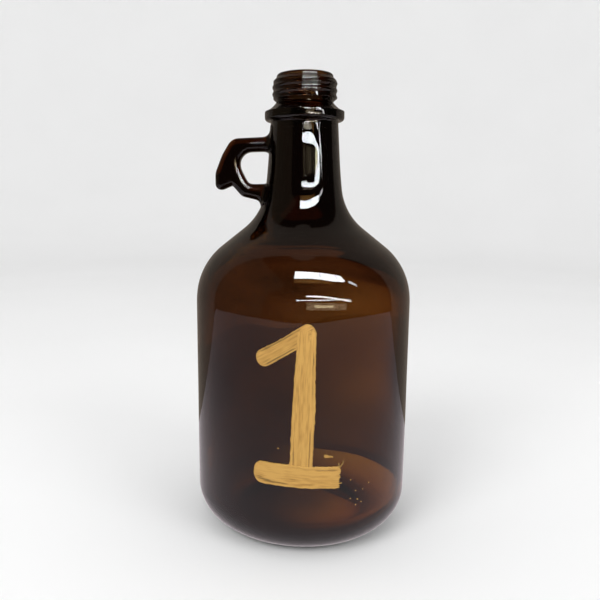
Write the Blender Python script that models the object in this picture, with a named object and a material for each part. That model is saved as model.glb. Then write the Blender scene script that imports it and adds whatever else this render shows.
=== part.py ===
"""Amber glass growler of half a gallon (1.89 litres): a turned body with a threaded mouth, a finger
loop moulded onto its neck, and a numeral 1 painted on its front in gold.

Metres, +Z up. The origin is on the bottle's axis, on the plane it stands on. The finger loop points
along -X and the numeral faces -Y. Lengths below are in millimetres.
"""

import math

import bmesh
import bpy
from mathutils import Vector

MM = 0.001

# Body, bottom to top. Each arc of the shoulder and neck starts where the one below it ends.
BODY_RADIUS = 65.0
HEEL_RADIUS = 22.5
WALL_TOP = 136.8
SHOULDER_LEAD_RADIUS = 53.0
SHOULDER_LEAD_SLOPE = 7.0
SHOULDER_RADIUS = 40.4
SHOULDER_SLOPE = 51.5
SHOULDER_FLAT = 17.8
NECK_ROOT_RADIUS = 35.0
NECK_ROOT_SLOPE = 6.3
NECK_SWELL_RADIUS = 416.0
NECK_TAPER = 3.55

# Base: a flat ring to stand on, domed up inside it. The dome's points are shares of its radius.
BEARING_WIDTH = 4.0
PUSH_UP = 5.0
DOME_SHARES = (0.0, 0.5, 0.75, 0.92, 1.0)

# Transfer bead and screw finish at the top of the neck
BEAD_BOTTOM = 243.5
BEAD_HEIGHT = 5.8
BEAD_RADIUS = 23.5
BEAD_LOWER_ROUND = 2.2
BEAD_UPPER_ROUND = 0.6
FLARE_BEND = 0.6
FLARE_STEPS = 4
WAIST_RADIUS = 16.6
WAIST_HEIGHT = 254.5
FINISH_RADIUS = 18.5
FINISH_BOTTOM = 256.3
FINISH_TOP = 266.5
FINISH_ROWS = 16
LIP_RADIUS = 16.6
LIP_HEIGHT = 270.5
LIP_ROUND = 1.6
THREAD_HEIGHT = 0.6
THREAD_PITCH = 3.9
THREAD_TURNS = 2.3
THREAD_FADE = 0.12
THREAD_TOP = 265.5
THREAD_START_ANGLE = 60.0

# Hollow
WALL = 4.0
FLOOR = 7.0
FLOOR_RISE = 3.5
INNER_HEEL_RADIUS = 17.0
NECK_BORE_START = 236.0
BORE_START = 246.0
BORE_RADIUS = 13.2
CUT_CLEARANCE = 3.0

# Finger loop, in the X-Z plane
LOOP_HALF_THICKNESS = 5.6
LOOP_EDGE_ROUND = 3.0
# Corners of the loop's outline as x, z and the radius that rounds the corner
LOOP_OUTLINE = (
    (0.0, 241.5, 0.0),
    (-20.1, 241.5, 0.0),
    (-20.6, 234.8, 4.4),
    (-43.1, 233.8, 7.2),
    (-48.9, 224.3, 18.0),
    (-53.0, 213.8, 8.0),
    (-53.0, 201.9, 3.5),
    (-42.8, 206.4, 1.2),
    (-37.0, 199.9, 5.0),
    (-26.6, 197.5, 3.2),
    (-25.6, 193.5, 0.0),
    (0.0, 193.5, 0.0),
)
FINGER_HOLE = (
    (-19.6, 226.5, 4.0),
    (-39.0, 225.9, 7.2),
    (-38.0, 216.5, 9.0),
    (-33.2, 207.1, 4.6),
    (-20.9, 207.3, 3.4),
)

# Painted numeral, unrolled from the body: distance round the wall to the right of the front line,
# height, and corner radius
PAINT_GAP = 0.3
PAINT_THICKNESS = 0.4
PAINT_STRIP = 2.6
FLAG_STROKE = (
    (-24.9, 115.5, 2.6),
    (-19.9, 109.9, 3.0),
    (-2.5, 120.6, 0.0),
    (-2.5, 131.3, 0.0),
)
STEM_STROKE = (
    (-5.8, 57.9, 0.0),
    (6.4, 57.1, 0.0),
    (7.8, 90.0, 20.0),
    (7.3, 128.0, 4.0),
    (4.6, 135.8, 2.0),
    (-2.1, 131.5, 0.0),
    (-2.1, 121.0, 4.0),
    (-4.7, 89.0, 20.0),
)
FOOT_STROKE = (
    (-26.4, 52.3, 3.0),
    (-24.0, 46.0, 3.0),
    (0.0, 44.1, 20.0),
    (19.6, 43.1, 1.5),
    (21.8, 55.0, 1.5),
    (0.0, 57.1, 20.0),
    (-23.6, 58.1, 3.0),
)
SMEAR_STROKE = (
    (12.6, 61.4, 0.3),
    (17.9, 60.7, 0.3),
    (17.9, 61.5, 0.3),
    (12.6, 62.8, 0.3),
)
LEFT_FLECK = (-12.3, 66.0, 0.9)
# Dried drops to the lower right of the numeral: distance round the wall, height, radius
DRIED_DROPS = (
    (28.5, 46.7, 0.8),
    (40.7, 42.5, 0.9),
    (31.8, 39.8, 1.0),
    (36.6, 39.7, 0.8),
    (28.5, 35.7, 0.7),
    (33.1, 34.5, 0.9),
    (35.6, 32.4, 0.8),
    (32.0, 31.4, 0.7),
)
DROP_CORNERS = 8

SEGMENTS = 48
ARC_STEP = 9.0


def clear_scene():
    for item in list(bpy.data.objects):
        bpy.data.objects.remove(item, do_unlink=True)


def make_material(name, colour, roughness, metallic=0.0, transmission=0.0):
    material = bpy.data.materials.new(name)
    material.use_nodes = True
    shader = material.node_tree.nodes["Principled BSDF"]
    shader.inputs["Base Color"].default_value = (*colour, 1.0)
    shader.inputs["Roughness"].default_value = roughness
    shader.inputs["Metallic"].default_value = metallic
    shader.inputs["Transmission Weight"].default_value = transmission
    material.diffuse_color = (*colour, 1.0)
    return material


def add_mesh(name, mesh, material=None):
    item = bpy.data.objects.new(name, mesh)
    bpy.context.scene.collection.objects.link(item)
    if material is not None:
        mesh.materials.append(material)
    return item


def hide_cutter(item):
    item.display_type = "WIRE"
    item.hide_render = True


def arc_steps(sweep_degrees, step=ARC_STEP):
    return max(2, math.ceil(abs(sweep_degrees) / step))


def arc(centre, radius, start, end, step=ARC_STEP):
    """Points of an arc after its first one. Angles are degrees from +X towards +Z."""
    count = arc_steps(end - start, step)
    points = []
    for index in range(1, count + 1):
        angle = math.radians(start + (end - start) * index / count)
        points.append((centre[0] + radius * math.cos(angle), centre[1] + radius * math.sin(angle)))
    return points


def convex_arc(start, radius, slope_from, slope_to):
    """An arc that bulges outwards. A slope is how far the wall leans in from upright, in degrees."""
    lean = math.radians(slope_from)
    centre = (start[0] - radius * math.cos(lean), start[1] - radius * math.sin(lean))
    return arc(centre, radius, slope_from, slope_to)


def hollow_arc(start, radius, slope_from, slope_to):
    """An arc that curves inwards, as the root of the neck does."""
    lean = math.radians(slope_from)
    centre = (start[0] + radius * math.cos(lean), start[1] + radius * math.sin(lean))
    return arc(centre, radius, 180 + slope_from, 180 + slope_to)


def shoulder_and_neck(inset, top):
    """The wall from the top of the straight side to a height on the neck, this far inside the glass."""
    points = [(BODY_RADIUS - inset, WALL_TOP)]
    points += convex_arc(points[-1], SHOULDER_LEAD_RADIUS - inset, 0.0, SHOULDER_LEAD_SLOPE)
    points += convex_arc(points[-1], SHOULDER_RADIUS - inset, SHOULDER_LEAD_SLOPE, SHOULDER_SLOPE)
    lean = math.radians(SHOULDER_SLOPE)
    radius, height = points[-1]
    points.append((radius - SHOULDER_FLAT * math.sin(lean), height + SHOULDER_FLAT * math.cos(lean)))
    points += hollow_arc(points[-1], NECK_ROOT_RADIUS + inset, SHOULDER_SLOPE, NECK_ROOT_SLOPE)
    points += hollow_arc(points[-1], NECK_SWELL_RADIUS + inset, NECK_ROOT_SLOPE, NECK_TAPER)
    radius, height = points[-1]
    points.append((radius - (top - height) * math.tan(math.radians(NECK_TAPER)), top))
    return points


def bead_profile():
    """The transfer bead below the thread: a flat-sided ring with a rounded lower edge."""
    top = BEAD_BOTTOM + BEAD_HEIGHT
    low_centre = (BEAD_RADIUS - BEAD_LOWER_ROUND, BEAD_BOTTOM + BEAD_LOWER_ROUND)
    high_centre = (BEAD_RADIUS - BEAD_UPPER_ROUND, top - BEAD_UPPER_ROUND)
    points = [(low_centre[0], BEAD_BOTTOM)]
    points += arc(low_centre, BEAD_LOWER_ROUND, -90.0, 0.0, 30.0)
    points.append((BEAD_RADIUS, high_centre[1]))
    points += arc(high_centre, BEAD_UPPER_ROUND, 0.0, 90.0, 45.0)
    # The flare from the bead up to the waist, steepest at the waist
    run = high_centre[0] - WAIST_RADIUS
    for step in range(1, FLARE_STEPS + 1):
        share = 1.0 - step / FLARE_STEPS
        drop = (WAIST_HEIGHT - top) * share * (1.0 + FLARE_BEND - FLARE_BEND * share)
        points.append((WAIST_RADIUS + run * share, WAIST_HEIGHT - drop))
    return points


def finish_profile():
    """The screw finish: straight where the thread is, then chamfered in to the rounded lip."""
    points = []
    for row in range(FINISH_ROWS + 1):
        height = FINISH_BOTTOM + (FINISH_TOP - FINISH_BOTTOM) * row / FINISH_ROWS
        points.append((FINISH_RADIUS, height))
    points.append((LIP_RADIUS, FINISH_TOP + FINISH_RADIUS - LIP_RADIUS))
    centre = (LIP_RADIUS - LIP_ROUND, LIP_HEIGHT - LIP_ROUND)
    points.append((LIP_RADIUS, centre[1]))
    points += arc(centre, LIP_ROUND, 0.0, 90.0, 30.0)
    return points


def base_profile():
    """From the middle of the push-up, over the flat bearing ring, round the heel."""
    bearing_outer = BODY_RADIUS - HEEL_RADIUS
    bearing_inner = bearing_outer - BEARING_WIDTH
    points = [(bearing_inner * share, PUSH_UP * (1.0 - share**3)) for share in DOME_SHARES]
    points.append((bearing_outer, 0.0))
    points += arc((bearing_outer, HEEL_RADIUS), HEEL_RADIUS, -90.0, 0.0, 13.0)
    return points


def cavity_profile():
    """The hollow, from the middle of the floor to above the mouth."""
    inner = BODY_RADIUS - WALL
    centre = (inner - INNER_HEEL_RADIUS, FLOOR + INNER_HEEL_RADIUS)
    points = [(centre[0] * share, FLOOR + FLOOR_RISE * (1.0 - share**2)) for share in (0.0, 0.6, 1.0)]
    points += arc(centre, INNER_HEEL_RADIUS, -90.0, 0.0, 18.0)
    points += shoulder_and_neck(WALL, NECK_BORE_START)
    above = LIP_HEIGHT + CUT_CLEARANCE
    points += [(BORE_RADIUS, BORE_START), (BORE_RADIUS, above), (0.0, above)]
    return points


def turned_solid(profile):
    """A closed mesh from an outline of radius and height that starts and ends on the axis."""
    form = bmesh.new()
    bottom = form.verts.new((0.0, 0.0, profile[0][1] * MM))
    top = form.verts.new((0.0, 0.0, profile[-1][1] * MM))
    rings = []
    for radius, height in profile[1:-1]:
        ring = []
        for step in range(SEGMENTS):
            angle = 2 * math.pi * step / SEGMENTS
            place = (radius * math.cos(angle) * MM, radius * math.sin(angle) * MM, height * MM)
            ring.append(form.verts.new(place))
        rings.append(ring)
    for step in range(SEGMENTS):
        after = (step + 1) % SEGMENTS
        form.faces.new((bottom, rings[0][after], rings[0][step]))
        form.faces.new((top, rings[-1][step], rings[-1][after]))
        for lower, upper in zip(rings, rings[1:]):
            form.faces.new((lower[step], lower[after], upper[after], upper[step]))
    return form


def thread_rise(angle, height):
    """How far the thread stands out of the finish at an angle in degrees and a height."""
    turned = (angle - THREAD_START_ANGLE) % 360.0 / 360.0
    rise = 0.0
    for turn in range(1, math.ceil(THREAD_TURNS) + 2):
        run = turn - turned
        fade = min(run, THREAD_TURNS - run) / THREAD_FADE
        if fade <= 0.0:
            continue
        off = abs(height - (THREAD_TOP - THREAD_PITCH * run)) / (THREAD_PITCH / 2)
        if off < 1.0:
            rise = max(rise, min(1.0, fade) * THREAD_HEIGHT * (0.5 + 0.5 * math.cos(math.pi * off)))
    return rise


def cut_thread(form):
    """Raises the right-hand thread by moving the finish's points outwards."""
    for point in form.verts:
        height = point.co.z / MM
        if not FINISH_BOTTOM + 0.1 < height < FINISH_TOP - 0.1:
            continue
        angle = math.degrees(math.atan2(point.co.y, point.co.x))
        radius = FINISH_RADIUS + thread_rise(angle, height)
        direction = Vector((point.co.x, point.co.y, 0.0)).normalized()
        point.co = direction * radius * MM + Vector((0.0, 0.0, point.co.z))


def rounded_outline(corners, step=22.0):
    """The points of a closed outline whose corners are each rounded by their own radius."""
    points = []
    count = len(corners)
    for index, (x, z, radius) in enumerate(corners):
        corner = Vector((x, z))
        before = Vector(corners[index - 1][:2]) - corner
        after = Vector(corners[(index + 1) % count][:2]) - corner
        opening = before.angle(after)
        if radius <= 0.0 or opening > math.radians(179.0):
            points.append((x, z))
            continue
        reach = radius / math.tan(opening / 2)
        start = corner + before.normalized() * reach
        middle = (before.normalized() + after.normalized()).normalized()
        centre = corner + middle * radius / math.sin(opening / 2)
        sweep = math.pi - opening
        side = 1.0 if before.x * after.y - before.y * after.x < 0.0 else -1.0
        pieces = max(1, math.ceil(math.degrees(sweep) / step))
        spoke = start - centre
        for piece in range(pieces + 1):
            angle = side * sweep * piece / pieces
            turned = (
                spoke.x * math.cos(angle) - spoke.y * math.sin(angle),
                spoke.x * math.sin(angle) + spoke.y * math.cos(angle),
            )
            points.append((centre.x + turned[0], centre.y + turned[1]))
    return points


def signed_area(points):
    total = 0.0
    for (x0, z0), (x1, z1) in zip(points, points[1:] + points[:1]):
        total += (x0 * z1 - x1 * z0) / 2
    return total


def loop_handle():
    """The finger loop and its hook: a flat outline with a hole, given rounded edges on both sides."""
    curve = bpy.data.curves.new("finger_loop", "CURVE")
    curve.dimensions = "2D"
    curve.fill_mode = "BOTH"
    curve.extrude = (LOOP_HALF_THICKNESS - LOOP_EDGE_ROUND) * MM
    curve.bevel_depth = LOOP_EDGE_ROUND * MM
    curve.bevel_resolution = 2
    curve.offset = -LOOP_EDGE_ROUND * MM
    for corners, clockwise in ((LOOP_OUTLINE, True), (FINGER_HOLE, False)):
        points = rounded_outline(corners)
        if (signed_area(points) < 0.0) != clockwise:
            points.reverse()
        spline = curve.splines.new("POLY")
        spline.points.add(len(points) - 1)
        for point, (x, z) in zip(spline.points, points):
            point.co = (x * MM, z * MM, 0.0, 1.0)
        spline.use_cyclic_u = True
    draft = bpy.data.objects.new("finger_loop_curve", curve)
    bpy.context.scene.collection.objects.link(draft)
    bpy.context.view_layer.update()
    graph = bpy.context.evaluated_depsgraph_get()
    mesh = bpy.data.meshes.new_from_object(draft.evaluated_get(graph))
    bpy.data.objects.remove(draft, do_unlink=True)
    form = bmesh.new()
    form.from_mesh(mesh)
    bmesh.ops.remove_doubles(form, verts=form.verts, dist=0.01 * MM)
    # The outline lies in X-Y; turned upright, it lies in X-Z
    for point in form.verts:
        point.co = Vector((point.co.x, -point.co.z, point.co.y))
    bmesh.ops.recalc_face_normals(form, faces=form.faces)
    form.to_mesh(mesh)
    form.free()
    return mesh


def as_mesh(name, form):
    mesh = bpy.data.meshes.new(name)
    form.to_mesh(mesh)
    form.free()
    return mesh


def glass_jug(material):
    """One moulding of glass: the turned body, the finger loop joined to it, and the hollow cut out."""
    outline = base_profile() + shoulder_and_neck(0.0, BEAD_BOTTOM) + bead_profile()
    outline += finish_profile() + [(0.0, LIP_HEIGHT)]
    form = turned_solid(outline)
    cut_thread(form)
    jug = add_mesh("glass_jug", as_mesh("glass_jug", form), material)
    loop = add_mesh("finger_loop_join", loop_handle())
    hollow = add_mesh("hollow_cut", as_mesh("hollow_cut", turned_solid(cavity_profile())))
    for name, tool, operation in (("join_loop", loop, "UNION"), ("cut_hollow", hollow, "DIFFERENCE")):
        hide_cutter(tool)
        boolean = jug.modifiers.new(name, "BOOLEAN")
        boolean.operation = operation
        boolean.solver = "EXACT"
        boolean.object = tool
    jug.data.shade_smooth()
    jug.data.set_sharp_from_angle(angle=math.radians(40.0))
    return jug


def painted_patch(name, outline, material):
    """A film of paint of this unrolled outline, wrapped round the body just clear of the glass."""
    form = bmesh.new()
    face = form.faces.new([form.verts.new((along, 0.0, height)) for along, height in outline])
    low = min(along for along, height in outline)
    high = max(along for along, height in outline)
    cuts = math.floor((high - low) / PAINT_STRIP)
    for index in range(1, cuts + 1):
        along = low + (high - low) * index / (cuts + 1)
        bmesh.ops.bisect_plane(
            form,
            geom=form.verts[:] + form.edges[:] + form.faces[:],
            plane_co=(along, 0.0, 0.0),
            plane_no=(1.0, 0.0, 0.0),
        )
    skin = bmesh.ops.extrude_face_region(form, geom=form.faces[:])
    for item in skin["geom"]:
        if isinstance(item, bmesh.types.BMVert):
            item.co.y = PAINT_THICKNESS
    for point in form.verts:
        along, depth, height = point.co
        radius = BODY_RADIUS + PAINT_GAP + depth
        angle = along / BODY_RADIUS
        point.co = (radius * math.sin(angle) * MM, -radius * math.cos(angle) * MM, height * MM)
    bmesh.ops.triangulate(form, faces=form.faces[:])
    bmesh.ops.recalc_face_normals(form, faces=form.faces[:])
    return add_mesh(name, as_mesh(name, form), material)


def drop_outline(along, height, radius):
    points = []
    for index in range(DROP_CORNERS):
        angle = 2 * math.pi * index / DROP_CORNERS
        points.append((along + radius * math.cos(angle), height + radius * math.sin(angle)))
    return points


def painted_numeral(material):
    """Three brush strokes for the numeral, a smear and a fleck beside it, and the dried drops."""
    strokes = (
        ("numeral_flag_stroke", FLAG_STROKE),
        ("numeral_stem_stroke", STEM_STROKE),
        ("numeral_foot_stroke", FOOT_STROKE),
        ("paint_smear", SMEAR_STROKE),
    )
    for name, corners in strokes:
        painted_patch(name, rounded_outline(corners), material)
    painted_patch("paint_fleck", drop_outline(*LEFT_FLECK), material)
    for index, drop in enumerate(DRIED_DROPS, start=1):
        painted_patch(f"paint_drop_{index}", drop_outline(*drop), material)


def build():
    clear_scene()
    amber = make_material("amber_glass", (0.16, 0.055, 0.012), 0.04, transmission=0.9)
    gold = make_material("gold_paint", (0.72, 0.42, 0.12), 0.55, metallic=0.2)
    glass_jug(amber)
    painted_numeral(gold)


build()
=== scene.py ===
"""Looks of the amber glass growler: its finely moulded glass, the gold brush strokes and the studio.

Metres, +Z up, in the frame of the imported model: the bottle stands on the origin, the finger loop
points along -X and the numeral faces -Y. Lengths of the glass and the paint are named in millimetres.
"""

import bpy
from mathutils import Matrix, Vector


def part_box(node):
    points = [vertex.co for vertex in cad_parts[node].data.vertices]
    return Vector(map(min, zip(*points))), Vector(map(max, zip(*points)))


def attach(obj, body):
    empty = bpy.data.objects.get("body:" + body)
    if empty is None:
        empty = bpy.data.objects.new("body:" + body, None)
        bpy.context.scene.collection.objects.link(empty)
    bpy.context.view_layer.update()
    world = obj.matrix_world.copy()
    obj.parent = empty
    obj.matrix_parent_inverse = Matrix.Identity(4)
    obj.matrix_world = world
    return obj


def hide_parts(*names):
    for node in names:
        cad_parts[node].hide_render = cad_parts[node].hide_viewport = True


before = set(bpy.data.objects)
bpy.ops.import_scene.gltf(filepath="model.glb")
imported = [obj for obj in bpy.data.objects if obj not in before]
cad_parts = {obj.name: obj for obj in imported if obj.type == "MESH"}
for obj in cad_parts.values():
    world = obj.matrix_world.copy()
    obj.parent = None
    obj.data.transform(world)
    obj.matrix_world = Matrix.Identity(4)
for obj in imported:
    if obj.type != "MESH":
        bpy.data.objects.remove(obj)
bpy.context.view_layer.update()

import math

import bmesh
import bpy
import numpy as np
from mathutils import Matrix, Vector

MM = 0.001
BODY = "root"
JUG_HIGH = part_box("glass_jug")[1]

# Body, bottom to top. Each arc of the shoulder and neck starts where the one below it ends.
BODY_RADIUS = JUG_HIGH.y / MM
HEEL_RADIUS = 22.5
WALL_TOP = 136.8
SHOULDER_LEAD_RADIUS = 53.0
SHOULDER_LEAD_SLOPE = 7.0
SHOULDER_RADIUS = 40.4
SHOULDER_SLOPE = 51.5
SHOULDER_FLAT = 17.8
NECK_ROOT_RADIUS = 35.0
NECK_ROOT_SLOPE = 6.3
NECK_SWELL_RADIUS = 416.0
NECK_TAPER = 3.55

# Base
BEARING_WIDTH = 4.0
PUSH_UP = 5.0

# Transfer bead and screw finish
BEAD_BOTTOM = 243.5
BEAD_HEIGHT = 5.8
BEAD_RADIUS = 23.5
BEAD_LOWER_ROUND = 2.2
BEAD_UPPER_ROUND = 0.6
BEAD_FILLET = 1.0
FLARE_BEND = 0.6
WAIST_RADIUS = 16.6
WAIST_HEIGHT = 254.5
FINISH_RADIUS = 18.5
FINISH_BOTTOM = 256.3
FINISH_TOP = 266.5
LIP_RADIUS = 16.6
LIP_HEIGHT = JUG_HIGH.z / MM
LIP_ROUND = 1.6
THREAD_HEIGHT = 0.6
THREAD_PITCH = 3.9
THREAD_TURNS = 2.3
THREAD_FADE = 0.12
THREAD_TOP = 265.5
THREAD_START_ANGLE = 60.0

# Hollow. The wall grows thicker inside, by THICKENING, from its start to its end on the neck root.
WALL = 4.0
FLOOR = 7.0
FLOOR_RISE = 3.5
INNER_HEEL_RADIUS = 17.0
THICKENING = 2.8
THICKENING_START = 169.0
THICKENING_END = 186.0
NECK_BORE_START = 236.0
BORE_START = 246.0
BORE_RADIUS = 13.2

# Marks of the mould
SEAM_RISE = 0.14
SEAM_WIDTH = 0.55
BASE_SEAM_ANGLE = 32.0
BASE_SEAM_SPREAD = 1.6
KNURL_RISE = 0.16
KNURL_ANGLES = (5.0, 19.0)
WAVES = 7
OUTER_WAVE = 0.035
INNER_WAVE = 0.38
COLUMNS = 192

# Finger loop, in the X-Z plane: corners as x, z and the radius that rounds each
LOOP_HALF_THICKNESS = 5.6
LOOP_EDGE_ROUND = 3.4
LOOP_VOXEL = 0.42
LOOP_POLISH = 0.1
LOOP_FILLET = 3.4
LOOP_OUTLINE = (
    (-10.0, 241.5, 0.0),
    (-20.1, 241.5, 0.0),
    (-20.6, 234.8, 4.4),
    (-43.1, 233.8, 7.2),
    (-48.9, 224.3, 18.0),
    (-53.0, 213.8, 8.0),
    (-53.0, 201.9, 3.5),
    (-42.8, 206.4, 1.2),
    (-37.0, 199.9, 5.0),
    (-26.6, 197.5, 3.2),
    (-25.6, 193.5, 0.0),
    (-10.0, 193.5, 0.0),
)
FINGER_HOLE = (
    (-19.6, 226.5, 4.0),
    (-39.0, 225.9, 7.2),
    (-38.0, 216.5, 9.0),
    (-33.2, 207.1, 4.6),
    (-20.9, 207.3, 3.4),
)


# ---- the glass ----------------------------------------------------------------------------------


def arc(centre, radius, start, end, step):
    """Points of an arc after its first one. Angles are degrees from +X towards +Z."""
    count = max(2, math.ceil(abs(end - start) / step))
    points = []
    for index in range(1, count + 1):
        angle = math.radians(start + (end - start) * index / count)
        points.append((centre[0] + radius * math.cos(angle), centre[1] + radius * math.sin(angle)))
    return points


def convex_arc(start, radius, slope_from, slope_to, step):
    lean = math.radians(slope_from)
    centre = (start[0] - radius * math.cos(lean), start[1] - radius * math.sin(lean))
    return arc(centre, radius, slope_from, slope_to, step)


def hollow_arc(start, radius, slope_from, slope_to, step):
    lean = math.radians(slope_from)
    centre = (start[0] + radius * math.cos(lean), start[1] + radius * math.sin(lean))
    return arc(centre, radius, 180 + slope_from, 180 + slope_to, step)


def line(start, end, spacing):
    """Points of a straight stretch after its first one."""
    count = max(1, round(math.dist(start, end) / spacing))
    points = []
    for index in range(1, count + 1):
        share = index / count
        points.append((start[0] + (end[0] - start[0]) * share, start[1] + (end[1] - start[1]) * share))
    return points


def shoulder_and_neck(inset, top):
    """The wall from the top of the straight side to a height on the neck, this far inside the glass."""
    points = [(BODY_RADIUS - inset, WALL_TOP)]
    points += convex_arc(points[-1], SHOULDER_LEAD_RADIUS - inset, 0.0, SHOULDER_LEAD_SLOPE, 2.0)
    points += convex_arc(points[-1], SHOULDER_RADIUS - inset, SHOULDER_LEAD_SLOPE, SHOULDER_SLOPE, 2.4)
    lean = math.radians(SHOULDER_SLOPE)
    radius, height = points[-1]
    flat_end = (radius - SHOULDER_FLAT * math.sin(lean), height + SHOULDER_FLAT * math.cos(lean))
    points += line(points[-1], flat_end, 2.0)
    points += hollow_arc(points[-1], NECK_ROOT_RADIUS + inset, SHOULDER_SLOPE, NECK_ROOT_SLOPE, 3.0)
    points += hollow_arc(points[-1], NECK_SWELL_RADIUS + inset, NECK_ROOT_SLOPE, NECK_TAPER, 0.4)
    radius, height = points[-1]
    end = (radius - (top - height) * math.tan(math.radians(NECK_TAPER)), top)
    points += line(points[-1], end, 2.0)
    return points


def base_rows():
    bearing_outer = BODY_RADIUS - HEEL_RADIUS
    bearing_inner = bearing_outer - BEARING_WIDTH
    points = []
    for share in np.linspace(0.0, 1.0, 14):
        points.append((bearing_inner * share, PUSH_UP * (1.0 - share**3)))
    points += line(points[-1], (bearing_outer, 0.0), 1.0)
    points += arc((bearing_outer, HEEL_RADIUS), HEEL_RADIUS, -90.0, 0.0, 2.8)
    points += line(points[-1], (BODY_RADIUS, WALL_TOP), 3.2)[:-1]
    return points


def bead_rows(neck_radius):
    """The transfer bead, with a small hollow where the neck meets it, then the flare to the waist."""
    top = BEAD_BOTTOM + BEAD_HEIGHT
    hollow_centre = (neck_radius + BEAD_FILLET, BEAD_BOTTOM - BEAD_FILLET)
    low_centre = (BEAD_RADIUS - BEAD_LOWER_ROUND, BEAD_BOTTOM + BEAD_LOWER_ROUND)
    high_centre = (BEAD_RADIUS - BEAD_UPPER_ROUND, top - BEAD_UPPER_ROUND)
    points = arc(hollow_centre, BEAD_FILLET, 180.0, 90.0, 22.5)
    if low_centre[0] > points[-1][0] + 0.1:
        points.append((low_centre[0], BEAD_BOTTOM))
    points += arc(low_centre, BEAD_LOWER_ROUND, -90.0, 0.0, 12.0)
    points += line(points[-1], (BEAD_RADIUS, high_centre[1]), 0.9)
    points += arc(high_centre, BEAD_UPPER_ROUND, 0.0, 90.0, 18.0)
    run = high_centre[0] - WAIST_RADIUS
    for share in np.linspace(1.0, 0.0, 15)[1:]:
        drop = (WAIST_HEIGHT - top) * share * (1.0 + FLARE_BEND - FLARE_BEND * share)
        points.append((WAIST_RADIUS + run * share, WAIST_HEIGHT - drop))
    return points


def finish_rows():
    points = line((WAIST_RADIUS, WAIST_HEIGHT), (FINISH_RADIUS, FINISH_BOTTOM), 0.4)
    points += line(points[-1], (FINISH_RADIUS, FINISH_TOP), 0.26)
    chamfer_end = (LIP_RADIUS, FINISH_TOP + FINISH_RADIUS - LIP_RADIUS)
    points += line(points[-1], chamfer_end, 0.4)
    centre = (LIP_RADIUS - LIP_ROUND, LIP_HEIGHT - LIP_ROUND)
    points += line(chamfer_end, (LIP_RADIUS, centre[1]), 0.3)
    points += arc(centre, LIP_ROUND, 0.0, 90.0, 12.0)
    return points


def outer_rows():
    points = base_rows() + shoulder_and_neck(0.0, BEAD_BOTTOM - BEAD_FILLET)
    points += bead_rows(points[-1][0])
    return points + finish_rows()


def inner_rows():
    """The hollow, from the mouth down to the middle of the floor."""
    inner = BODY_RADIUS - WALL
    centre = (inner - INNER_HEEL_RADIUS, FLOOR + INNER_HEEL_RADIUS)
    points = []
    for share in np.linspace(0.0, 1.0, 10):
        points.append((centre[0] * share, FLOOR + FLOOR_RISE * (1.0 - share**2)))
    points += arc(centre, INNER_HEEL_RADIUS, -90.0, 0.0, 4.5)
    points += line(points[-1], (inner, WALL_TOP), 4.0)[:-1]
    for radius, height in shoulder_and_neck(WALL, NECK_BORE_START):
        share = min(1.0, max(0.0, (height - THICKENING_START) / (THICKENING_END - THICKENING_START)))
        narrowed = radius - THICKENING * share * share * (3.0 - 2.0 * share)
        points.append((max(BORE_RADIUS, narrowed), height))
    points += line(points[-1], (BORE_RADIUS, BORE_START), 1.5)
    points += line(points[-1], (BORE_RADIUS, LIP_HEIGHT - LIP_ROUND), 1.5)
    points += arc((BORE_RADIUS + LIP_ROUND, LIP_HEIGHT - LIP_ROUND), LIP_ROUND, 180.0, 90.0, 15.0)
    return points[::-1]


def column_angles():
    """Even columns round the axis, closer together at the two upright seams of the mould."""
    angles = list(np.arange(COLUMNS) * 360.0 / COLUMNS)
    for seam in (0.0, 180.0):
        for offset in (0.25, 0.5, 0.9):
            angles += [(seam + offset) % 360.0, (seam - offset) % 360.0]
    return np.array(sorted(angles))


def thread_rise(angles, height):
    """How far the right-hand thread stands out at each angle in degrees, at one height."""
    turned = (angles - THREAD_START_ANGLE) % 360.0 / 360.0
    rise = np.zeros_like(angles)
    for turn in range(1, math.ceil(THREAD_TURNS) + 2):
        run = turn - turned
        fade = np.clip(np.minimum(run, THREAD_TURNS - run) / THREAD_FADE, 0.0, 1.0)
        off = np.abs(height - (THREAD_TOP - THREAD_PITCH * run)) / (THREAD_PITCH / 2)
        ridge = np.where(off < 1.0, (0.5 + 0.5 * np.cos(math.pi * np.minimum(off, 1.0))) ** 1.3, 0.0)
        rise = np.maximum(rise, fade * THREAD_HEIGHT * ridge)
    return rise


def soft_waves(angles, height, seed, around, upright):
    """Slow swells of blown glass, mostly within -1 and 1: sines that close round the bottle."""
    draw = np.random.default_rng(seed)
    turn = np.radians(angles)
    total = np.zeros_like(angles)
    for _ in range(WAVES):
        lobes = draw.integers(1, around + 1)
        length = upright * draw.uniform(0.6, 1.8)
        phase = draw.uniform(0.0, 2 * math.pi, 2)
        total += np.sin(lobes * turn + phase[0] + 2 * math.pi * height / length) / WAVES * 1.9
        total += np.sin(lobes * turn - 2 * math.pi * height / length + phase[1]) / WAVES * 0.6
    return total


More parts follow.
